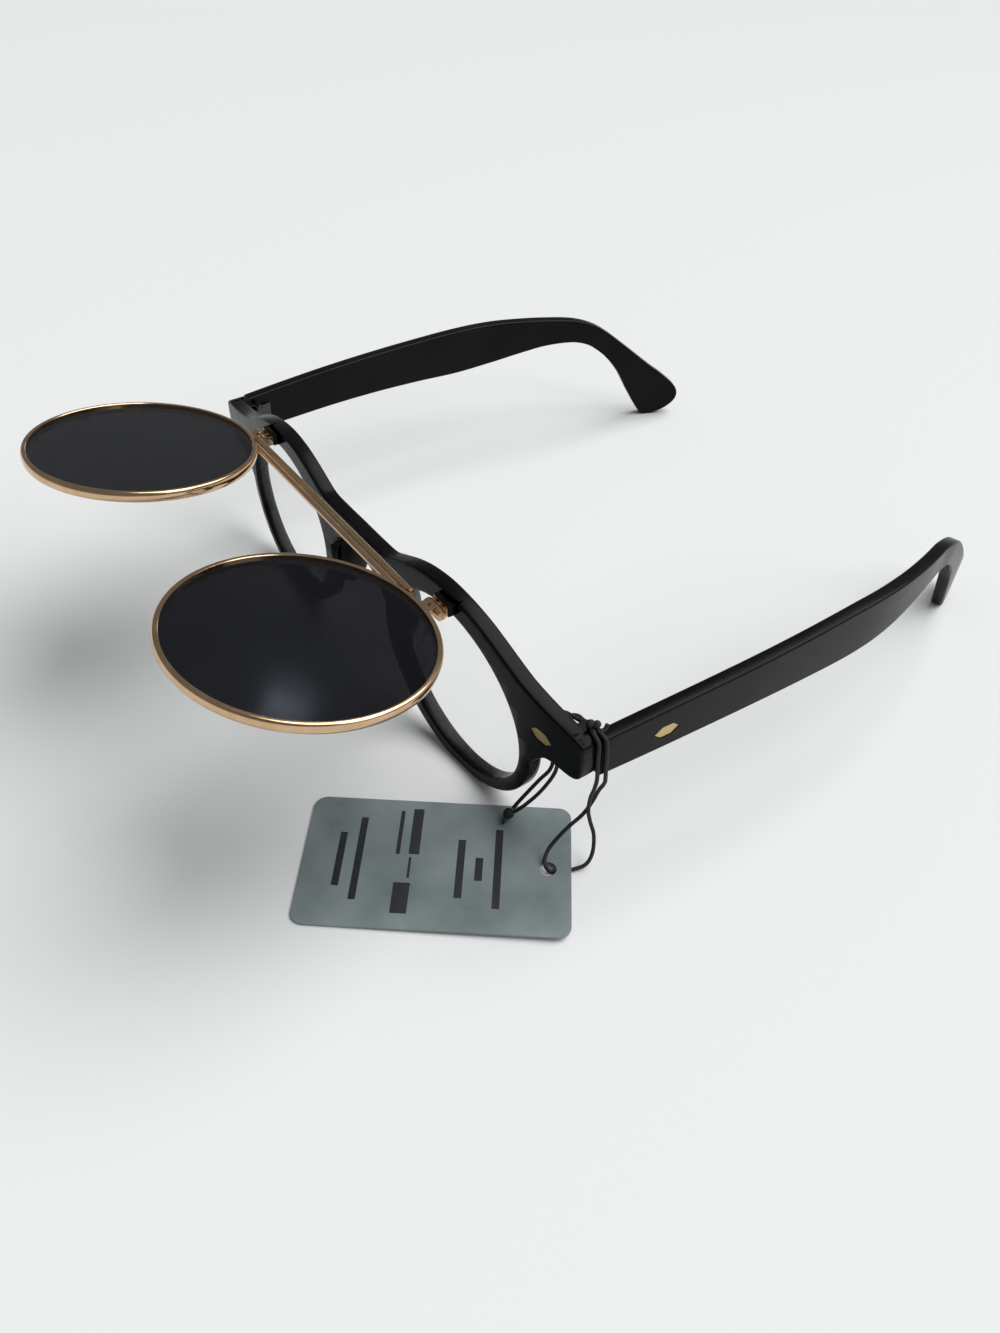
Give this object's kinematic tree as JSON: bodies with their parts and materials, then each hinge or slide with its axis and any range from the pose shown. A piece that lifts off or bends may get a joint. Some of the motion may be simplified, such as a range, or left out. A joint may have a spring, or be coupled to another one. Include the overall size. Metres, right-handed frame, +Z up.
{
  "type": "flip up sunglasses",
  "caption": "Round black plastic spectacle frame with clear lenses, folding temples and a gold wire clip of dark lenses that flips up; card tag on a thread.",
  "frame": {"origin": "middle of the glasses' footprint on the table, rim bottoms and temple tips at z = 0", "axes": "+X towards the wearer's left temple, +Y backwards along the temples, +Z up"},
  "size_m": [0.1621, 0.2047, 0.0555],
  "materials": {
    "black_plastic": "satin black moulded plastic",
    "clear_lens": "clear polished",
    "rivet_gold": "pale gold, polished",
    "hinge_steel": "dark plated steel",
    "gold_wire": "champagne gold plated, polished",
    "dark_lens": "dark grey tint, polished",
    "tag_card": "coated silver grey card, smooth",
    "thread": "black waxed thread"
  },
  "bodies": {
    "front": {"front_frame": "black_plastic", "clear_lens_left": "clear_lens", "clear_lens_right": "clear_lens", "front_rivet_left": "rivet_gold", "front_rivet_right": "rivet_gold", "front_leaf_left": "hinge_steel", "front_leaf_right": "hinge_steel", "hinge_screw_left": "hinge_steel", "hinge_screw_right": "hinge_steel", "flip_mount_left": "gold_wire", "flip_mount_right": "gold_wire", "flip_screw_left": "gold_wire", "flip_screw_right": "gold_wire", "hang_tag": "tag_card", "thread_wrap": "thread", "thread_loop": "thread", "thread_tails": "thread", "thread_beads": "thread", "thread_knot": "thread"},
    "left_temple": {"temple_left": "black_plastic", "temple_rivet_left": "rivet_gold", "temple_leaf_left": "hinge_steel"},
    "right_temple": {"temple_right": "black_plastic", "temple_rivet_right": "rivet_gold", "temple_leaf_right": "hinge_steel"},
    "flip_lenses": {"flip_rim_left": "gold_wire", "flip_rim_right": "gold_wire", "dark_lens_left": "dark_lens", "dark_lens_right": "dark_lens", "upper_bar": "gold_wire", "lower_bar": "gold_wire", "flip_leaf_left": "gold_wire", "flip_leaf_right": "gold_wire"}
  },
  "joints": [
    {"name": "left_temple_fold", "type": "hinge", "parent": "front", "child": "left_temple", "pos_m": [0.0693, -0.03807, 0.0302], "axis": [0, 0, 1], "range_deg": [-2, 84]},
    {"name": "right_temple_fold", "type": "hinge", "parent": "front", "child": "right_temple", "pos_m": [-0.0693, -0.03807, 0.0302], "axis": [0, 0, -1], "range_deg": [-2, 74]},
    {"name": "lens_flip", "type": "hinge", "parent": "front", "child": "flip_lenses", "pos_m": [0, -0.05117, 0.0446], "axis": [1, 0, 0], "range_deg": [-5, 66]}
  ]
}
